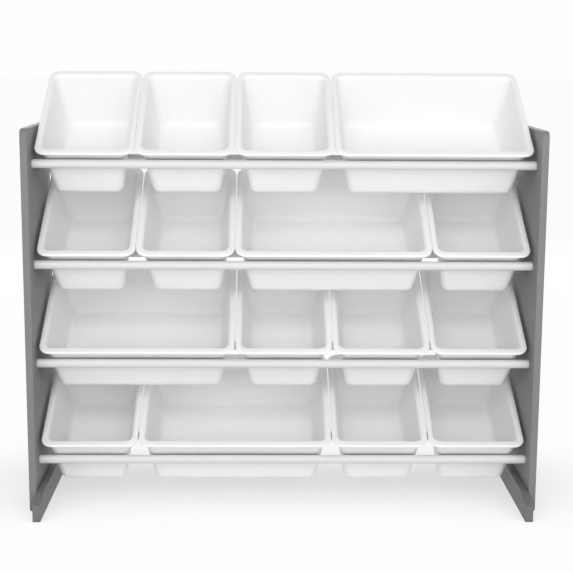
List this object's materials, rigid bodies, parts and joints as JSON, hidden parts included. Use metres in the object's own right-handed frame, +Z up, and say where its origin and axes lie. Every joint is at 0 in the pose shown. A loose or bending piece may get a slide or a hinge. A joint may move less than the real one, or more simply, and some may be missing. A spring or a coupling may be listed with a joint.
{
  "type": "toy storage organizer",
  "caption": "Free-standing children's toy organizer: painted side panels, white round bars and loose white plastic bins that lie tilted on the bars and lift out.",
  "frame": {"origin": "on the floor, in the middle of the overall width and depth", "axes": "+X across the width to the right seen from the front, -Y towards the front, where the bins face, +Z up"},
  "size_m": [1.067, 0.3786, 0.9151],
  "materials": {
    "painted_board": "grey painted fibreboard, satin",
    "bar_white": "smooth white plastic tube",
    "steel_tube": "plain drawn tube",
    "plug_nylon": "natural nylon",
    "zinc_screw": "zinc plated",
    "bin_white": "smooth white moulded polypropylene, low gloss"
  },
  "bodies": {
    "frame": {"side_panel_left": "painted_board", "side_panel_right": "painted_board", "foot_board_left": "painted_board", "foot_board_right": "painted_board", "bar_sleeve_front_1": "bar_white", "bar_sleeve_front_2": "bar_white", "bar_sleeve_front_3": "bar_white", "bar_sleeve_front_4": "bar_white", "bar_sleeve_rear_1": "bar_white", "bar_sleeve_rear_2": "bar_white", "bar_sleeve_rear_3": "bar_white", "bar_sleeve_rear_4": "bar_white", "bar_core_front_1": "steel_tube", "bar_core_front_2": "steel_tube", "bar_core_front_3": "steel_tube", "bar_core_front_4": "steel_tube", "bar_core_rear_1": "steel_tube", "bar_core_rear_2": "steel_tube", "bar_core_rear_3": "steel_tube", "bar_core_rear_4": "steel_tube", "bar_plugs_left": "plug_nylon", "bar_plugs_right": "plug_nylon", "bar_screws_left": "zinc_screw", "bar_screws_right": "zinc_screw", "foot_screws_left": "zinc_screw", "foot_screws_right": "zinc_screw"},
    "small_bin_row1_1": {"small_bin_row1_1": "bin_white"},
    "small_bin_row1_2": {"small_bin_row1_2": "bin_white"},
    "small_bin_row1_3": {"small_bin_row1_3": "bin_white"},
    "large_bin_row1_4": {"large_bin_row1_4": "bin_white"},
    "small_bin_row2_1": {"small_bin_row2_1": "bin_white"},
    "small_bin_row2_2": {"small_bin_row2_2": "bin_white"},
    "large_bin_row2_3": {"large_bin_row2_3": "bin_white"},
    "small_bin_row2_4": {"small_bin_row2_4": "bin_white"},
    "large_bin_row3_1": {"large_bin_row3_1": "bin_white"},
    "small_bin_row3_2": {"small_bin_row3_2": "bin_white"},
    "small_bin_row3_3": {"small_bin_row3_3": "bin_white"},
    "small_bin_row3_4": {"small_bin_row3_4": "bin_white"},
    "small_bin_row4_1": {"small_bin_row4_1": "bin_white"},
    "large_bin_row4_2": {"large_bin_row4_2": "bin_white"},
    "small_bin_row4_3": {"small_bin_row4_3": "bin_white"},
    "small_bin_row4_4": {"small_bin_row4_4": "bin_white"}
  },
  "joints": [
    {"name": "lift_row1_1", "type": "slide", "parent": "frame", "child": "small_bin_row1_1", "axis": [0, -0.5255, 0.8508], "range_m": [0, 0.2]},
    {"name": "lift_row1_2", "type": "slide", "parent": "frame", "child": "small_bin_row1_2", "axis": [0, -0.5255, 0.8508], "range_m": [0, 0.2]},
    {"name": "lift_row1_3", "type": "slide", "parent": "frame", "child": "small_bin_row1_3", "axis": [0, -0.5255, 0.8508], "range_m": [0, 0.2]},
    {"name": "lift_row1_4", "type": "slide", "parent": "frame", "child": "large_bin_row1_4", "axis": [0, -0.5255, 0.8508], "range_m": [0, 0.2]},
    {"name": "tip_row2_1", "type": "hinge", "parent": "frame", "child": "small_bin_row2_1", "pos_m": [0, 0.10417, 0.5186], "axis": [-1, 0, 0], "range_deg": [0, 30]},
    {"name": "tip_row2_2", "type": "hinge", "parent": "frame", "child": "small_bin_row2_2", "pos_m": [0, 0.10417, 0.5186], "axis": [-1, 0, 0], "range_deg": [0, 30]},
    {"name": "tip_row2_3", "type": "hinge", "parent": "frame", "child": "large_bin_row2_3", "pos_m": [0, 0.10417, 0.5186], "axis": [-1, 0, 0], "range_deg": [0, 30]},
    {"name": "tip_row2_4", "type": "hinge", "parent": "frame", "child": "small_bin_row2_4", "pos_m": [0, 0.10417, 0.5186], "axis": [-1, 0, 0], "range_deg": [0, 30]},
    {"name": "tip_row3_1", "type": "hinge", "parent": "frame", "child": "large_bin_row3_1", "pos_m": [0, 0.10417, 0.3091], "axis": [-1, 0, 0], "range_deg": [0, 30]},
    {"name": "tip_row3_2", "type": "hinge", "parent": "frame", "child": "small_bin_row3_2", "pos_m": [0, 0.10417, 0.3091], "axis": [-1, 0, 0], "range_deg": [0, 30]},
    {"name": "tip_row3_3", "type": "hinge", "parent": "frame", "child": "small_bin_row3_3", "pos_m": [0, 0.10417, 0.3091], "axis": [-1, 0, 0], "range_deg": [0, 30]},
    {"name": "tip_row3_4", "type": "hinge", "parent": "frame", "child": "small_bin_row3_4", "pos_m": [0, 0.10417, 0.3091], "axis": [-1, 0, 0], "range_deg": [0, 30]},
    {"name": "tip_row4_1", "type": "hinge", "parent": "frame", "child": "small_bin_row4_1", "pos_m": [0, 0.10417, 0.0996], "axis": [-1, 0, 0], "range_deg": [0, 30]},
    {"name": "tip_row4_2", "type": "hinge", "parent": "frame", "child": "large_bin_row4_2", "pos_m": [0, 0.10417, 0.0996], "axis": [-1, 0, 0], "range_deg": [0, 30]},
    {"name": "tip_row4_3", "type": "hinge", "parent": "frame", "child": "small_bin_row4_3", "pos_m": [0, 0.10417, 0.0996], "axis": [-1, 0, 0], "range_deg": [0, 30]},
    {"name": "tip_row4_4", "type": "hinge", "parent": "frame", "child": "small_bin_row4_4", "pos_m": [0, 0.10417, 0.0996], "axis": [-1, 0, 0], "range_deg": [0, 30]}
  ]
}
